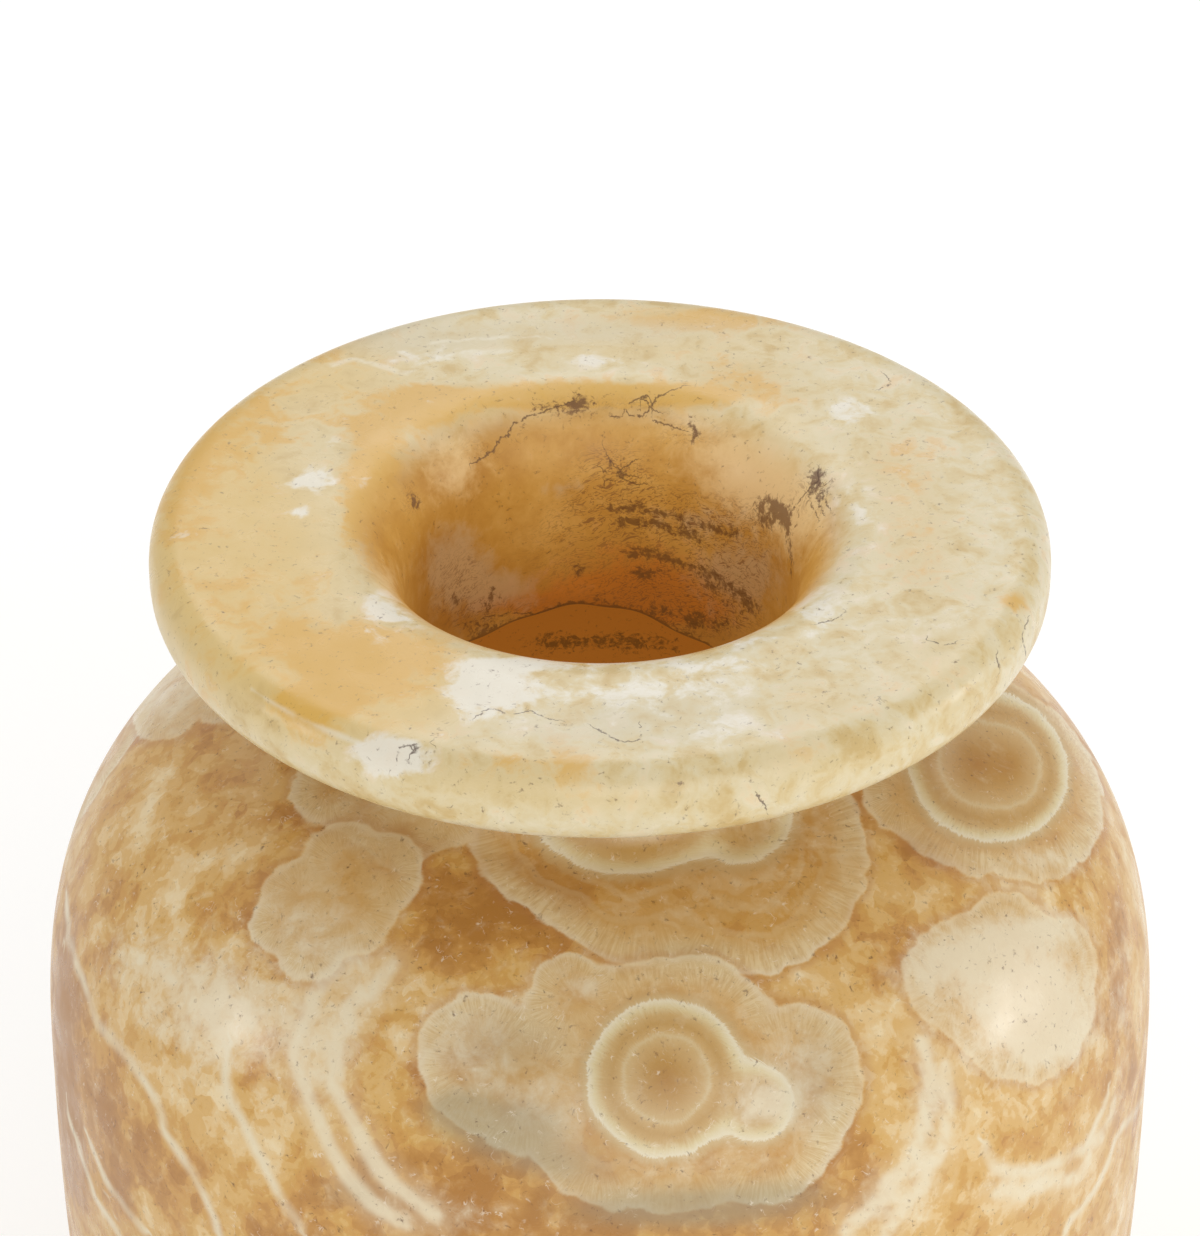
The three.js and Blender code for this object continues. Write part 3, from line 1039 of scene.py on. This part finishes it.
def body_stone(n, mm, broad, middle, fine):
    """The crystals with growth masses, veins and rings in them, and opaque clouds and painted
    highlights over all.
    """
    fibres = n.vector("SCALE", n.field("fibre", "Vector"), scale=32.0)
    streaks = n.noise(fibres, 1.0, 2, 0.7)
    scallops = n.times(n.cells(n.shaken(mm, "wide", 4), 5.5), 1.6)
    waver = n.plus(n.times(n.centred(middle), 3.6), n.math("SUBTRACT", scallops, 0.7))
    waver = n.plus(waver, n.centred(streaks))
    body = crystal_body(n, mm, broad, fine)
    body = growth_layer(n, body, "growth_behind", waver, streaks, broad)
    body = vein_layer(n, mm, body)
    body = growth_layer(n, body, "growth", waver, streaks, broad)
    body = ring_layer(n, body, waver, streaks)
    # Cream clouds and painted highlights
    body = n.cloud(body, "cream_and_highlight", n.centred(fine), 2.0, 0.0, 1.3, 0.8, "#E6D9BB")
    grey = n.times(n.between(n.field("body_grey"), 0.0, 1.1), 0.6)
    body = n.mix(grey, body, paint("#9E9274"))
    return shards(n, mm, broad, body)


def alabaster():
    n = Nodes("banded_alabaster")
    place = n.add("TexCoord", {}, "Object")
    mm = n.vector("SCALE", place, scale=1 / MM)
    n.shake(mm)
    broad = n.noise(mm, 34, 2, 0.6)
    middle = n.noise(mm, 9, 2)
    fine = n.noise(n.shaken(mm, "wide", 6), 5, 4, 0.65)
    in_throat = n.field("throat_part")
    rim_share = n.plus(n.field("rim_part"), n.centred(middle))
    stone = body_stone(n, mm, broad, middle, fine)
    stone = n.mix(rim_share, stone, rim_stone(n, mm, fine))
    stone = n.mix(in_throat, stone, throat_stone(n, mm, fine, broad))
    stone = crack_layer(n, mm, stain_and_shade_layer(n, mm, stone))
    gloss = n.between(middle, 0.3, 0.7, 0.24, 0.38)
    relief = n.noise(mm, 1.1, 1, 0.7)
    shader = {
        "Base Color": stone,
        "Roughness": n.plus(gloss, n.times(in_throat, 0.15)),
        "Normal": n.add("Bump", {"Strength": 0.2, "Distance": 0.1 * MM, "Height": relief}),
        # A painted glow in the throat and the hollow, standing in for light shining through the
        # stone
        "Emission Color": n.mix(0.4, stone, paint("#D9A040")),
        "Emission Strength": n.times(n.field("painted_glow"), 0.16),
        "IOR": 1.5,
    }
    return n.finish(shader)


def lay_parts(stone):
    """Where the stone is the rim's or the throat's, and how far inside it lies, from 0 to 1; the
    last sets a painted glow.
    """
    rim = smooth(RIM_UNDERSIDE - 8, RIM_UNDERSIDE + 1, stone.level)
    stone.keep("rim_part", rim * 2 - 0.5)
    body = [taper_at(share) for share in share_steps(40, 1, 0)]
    body += [shoulder_at(share) for share in share_steps(40, 0, 1)][1:]
    radii, levels = zip(*body)
    outside = np.interp(stone.level, levels, radii)
    in_hollow = (stone.radius < outside - 7) & (stone.level > 10) & (stone.level < stone.ledge + 1)
    in_throat = (stone.level >= stone.ledge) & (stone.radius < RIM_RADIUS)
    stone.keep("in_hollow", in_hollow * 1.0)
    stone.keep("throat_part", np.maximum(in_hollow, in_throat * smooth(57, 48, stone.radius)))
    # How far inside, which is the strength of the painted glow
    stone.keep("painted_glow", np.maximum(in_hollow, in_throat * smooth(60, 44, stone.radius)))


def make_vase():
    """The piece that takes the place of the solid."""
    vase = turned_vase(without_doubles([*outside_outline(), *inside_outline()]))
    ledge = wear_ledge(vase)
    bpy.context.view_layer.update()
    stone = Stone(vase, ledge)
    lay_body_pattern(stone)
    lay_rim_pattern(stone)
    lay_throat_pattern(stone)
    lay_cracks(stone)
    lay_parts(stone)
    vase.data.materials.append(alabaster())
    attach(vase, "root")
    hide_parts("vase")
    return vase


# Studio

def make_camera():
    stands, forward, _, _ = camera_axes()
    bpy.ops.object.camera_add(location=stands * MM)
    camera = bpy.context.object
    camera.rotation_euler = forward.to_track_quat("-Z", "Y").to_euler()
    camera.data.sensor_width = SENSOR
    camera.data.lens = FOCAL_PIXELS * SENSOR / PICTURE_HEIGHT
    camera.data.clip_end = 50
    bpy.context.scene.camera = camera


def make_floor():
    bpy.ops.mesh.primitive_plane_add(size=40, location=(0, 0, 0))
    floor = bpy.context.object
    floor.name = "floor"
    n = Nodes("pale_floor")
    shader = {
        "Base Color": paint("#FBFAF8"),
        "Roughness": 0.8,
        "Emission Color": (1.0, 1.0, 1.0, 1.0),
        "Emission Strength": 0.1,
    }
    floor.data.materials.append(n.finish(shader))


def soft_light(name, place, aim, size, power):
    bpy.ops.object.light_add(type="AREA", location=place)
    light = bpy.context.object
    light.name = name
    light.data.shape = "RECTANGLE"
    light.data.size, light.data.size_y = size
    light.data.energy = power
    light.rotation_euler = (Vector(aim) - Vector(place)).to_track_quat("-Z", "Y").to_euler()


def make_lights():
    world = bpy.data.worlds.new("studio")
    bpy.context.scene.world = world
    world.use_nodes = True
    backdrop = world.node_tree.nodes["Background"]
    backdrop.inputs["Color"].default_value = (1.0, 1.0, 1.0, 1.0)
    backdrop.inputs["Strength"].default_value = 0.56
    aim = (0, 0, 0.26)
    soft_light("left_softbox", (-1.40, -0.35, 0.64), aim, (0.32, 0.45), 2.2)
    soft_light("right_softbox", (1.46, -0.05, 0.46), aim, (0.36, 0.45), 3.0)
    soft_light("front_softbox", (0.45, -1.5, 1.0), aim, (1.6, 1.1), 10.0)
    soft_light("floor_light", (0, 1.1, 1.4), (0, 0.8, 0), (1.6, 1.0), 10.0)


make_vase()
make_camera()
make_floor()
make_lights()
scene = bpy.context.scene
scene.view_settings.view_transform = "Standard"
scene.cycles.use_denoising = True
scene.cycles.diffuse_bounces = 2
scene.cycles.max_bounces = 4
